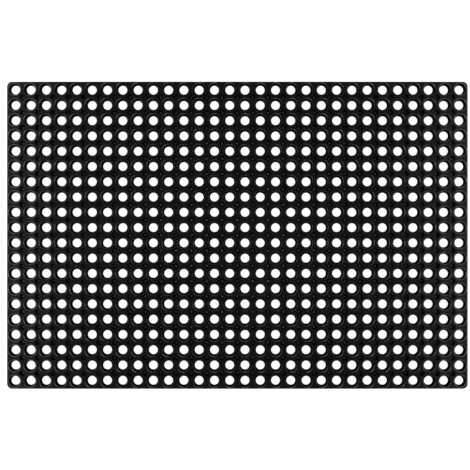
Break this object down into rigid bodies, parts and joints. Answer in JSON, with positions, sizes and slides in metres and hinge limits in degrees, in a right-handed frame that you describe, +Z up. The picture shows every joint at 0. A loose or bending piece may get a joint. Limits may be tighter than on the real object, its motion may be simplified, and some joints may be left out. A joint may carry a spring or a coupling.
{
  "type": "door mat",
  "caption": "Rectangular moulded rubber ring mat: an open lattice of round holes with small blind pits between them, inside a narrow solid border, standing on short studs.",
  "frame": {"origin": "on the floor, under the middle of the mat: the centre of the bottom of its box, at the foot of the middle stud", "axes": "+X along the long side, +Y along the short side, +Z up out of the tread"},
  "size_m": [0.6, 0.4, 0.016],
  "materials": {
    "rubber": "moulded black rubber, satin, with a fine grain"
  },
  "bodies": {
    "root": {"edge_border": "rubber", "ring_lattice": "rubber", "studded_base": "rubber"}
  },
  "joints": []
}
